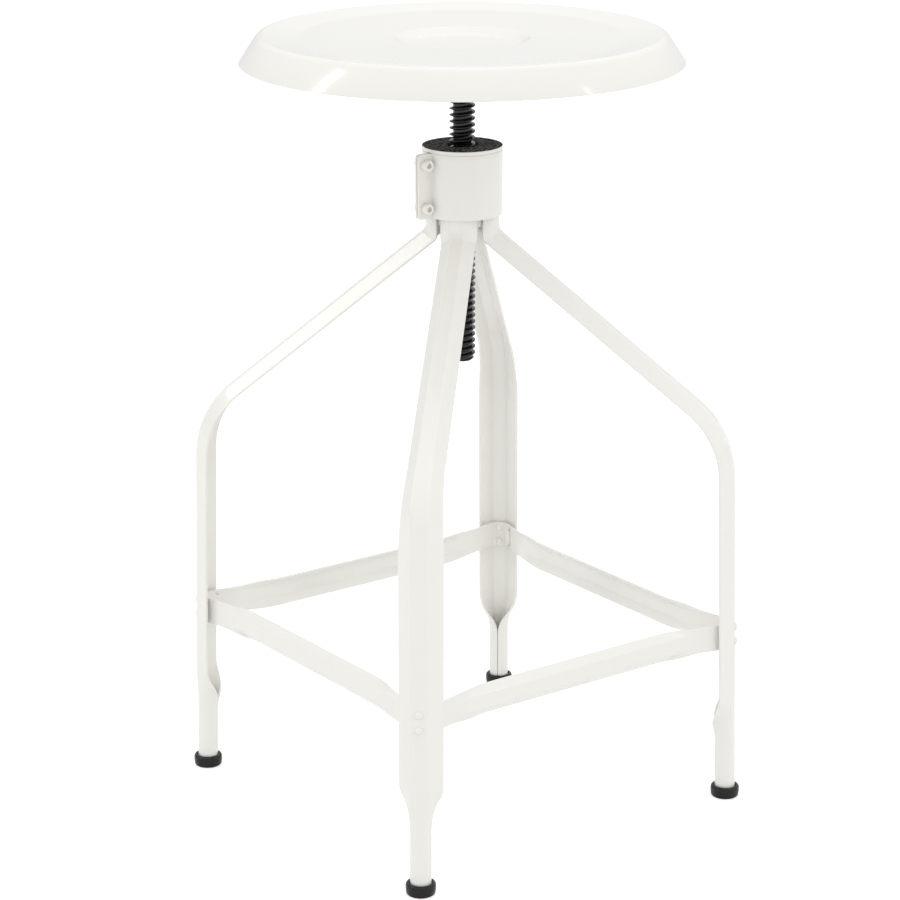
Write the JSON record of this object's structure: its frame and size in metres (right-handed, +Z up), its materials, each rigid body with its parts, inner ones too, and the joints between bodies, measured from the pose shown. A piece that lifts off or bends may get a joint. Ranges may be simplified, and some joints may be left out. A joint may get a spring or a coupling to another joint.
{
  "type": "machinist stool",
  "caption": "Backless screw-lift workshop stool: round dished pressed-steel seat on a threaded spindle, clamped hub, pressed legs that close into tubes, riveted channel rails.",
  "frame": {"origin": "on the floor, on the spindle's axis, midway between the four feet", "axes": "+Z up along the spindle, the legs on the diagonals of X and Y, -Y towards the front stretcher"},
  "size_m": [0.34, 0.34, 0.6126],
  "materials": {
    "powder_coat": "gloss",
    "plate_steel": "satin",
    "thread_steel": "oiled black",
    "hub_coat": "gloss, with a bare black top face",
    "bolt_paint": "gloss",
    "rivet_steel": "gloss",
    "glide_rubber": "satin"
  },
  "bodies": {
    "frame": {"screw_hub": "hub_coat", "clamp_collar": "powder_coat", "clamp_bolts": "bolt_paint", "clamp_nuts": "bolt_paint", "leg_back_right": "powder_coat", "leg_back_left": "powder_coat", "leg_front_left": "powder_coat", "leg_front_right": "powder_coat", "stretcher_front": "powder_coat", "stretcher_right": "powder_coat", "stretcher_back": "powder_coat", "stretcher_left": "powder_coat", "rivets_back_right": "rivet_steel", "glide_back_right": "glide_rubber", "rivets_back_left": "rivet_steel", "glide_back_left": "glide_rubber", "rivets_front_left": "rivet_steel", "glide_front_left": "glide_rubber", "rivets_front_right": "rivet_steel", "glide_front_right": "glide_rubber"},
    "screw_travel": {"stop_washer": "plate_steel"},
    "seat": {"seat_pan": "powder_coat", "seat_plate": "plate_steel", "spindle": "thread_steel"}
  },
  "joints": [
    {"name": "seat_lift", "type": "slide", "parent": "frame", "child": "screw_travel", "axis": [0, 0, 1], "range_m": [-0.055, 0.11]},
    {"name": "seat_turn", "type": "hinge", "parent": "screw_travel", "child": "seat", "pos_m": [0, 0, 0.56], "axis": [0, 0, 1], "range_deg": [-3960, 7920]}
  ],
  "couplings": [
    {"joint": "seat_lift", "follows": "seat_turn", "m_per_rad": 0.00079577}
  ]
}
